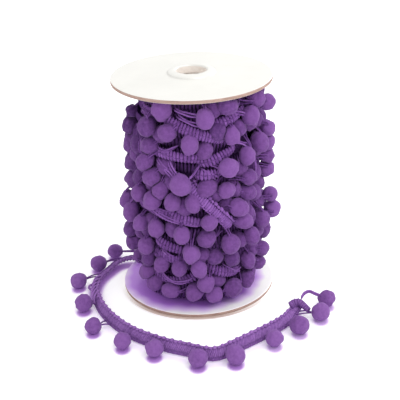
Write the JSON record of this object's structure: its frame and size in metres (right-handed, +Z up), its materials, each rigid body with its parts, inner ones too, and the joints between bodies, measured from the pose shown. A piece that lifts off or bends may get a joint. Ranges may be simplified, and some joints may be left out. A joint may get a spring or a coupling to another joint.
{
  "type": "pom pom trim on a card reel",
  "caption": "Purple gimp braid with felted pompoms on thread loops, wound on a white card reel, with its loose end laid round the foot of the reel.",
  "frame": {"origin": "middle of the part's footprint, on the surface that the reel stands on", "axes": "+X to the right along the loose end's longest reach, +Y to the back, +Z up along the reel's axis"},
  "size_m": [0.1544, 0.1426, 0.1294],
  "materials": {
    "card": "smooth coated white card, faintly glossy",
    "tube_card": "spiral wound card tube, matt",
    "pompom_yarn": "felted purple pompoms and thread loops",
    "braid_yarn": "purple gimp braid with ribs across it"
  },
  "bodies": {
    "root": {"flange_bottom": "card", "flange_top": "card", "core_tube": "tube_card", "wound_trim": "pompom_yarn", "tail_braid": "braid_yarn", "tail_pompoms": "pompom_yarn"}
  },
  "joints": []
}
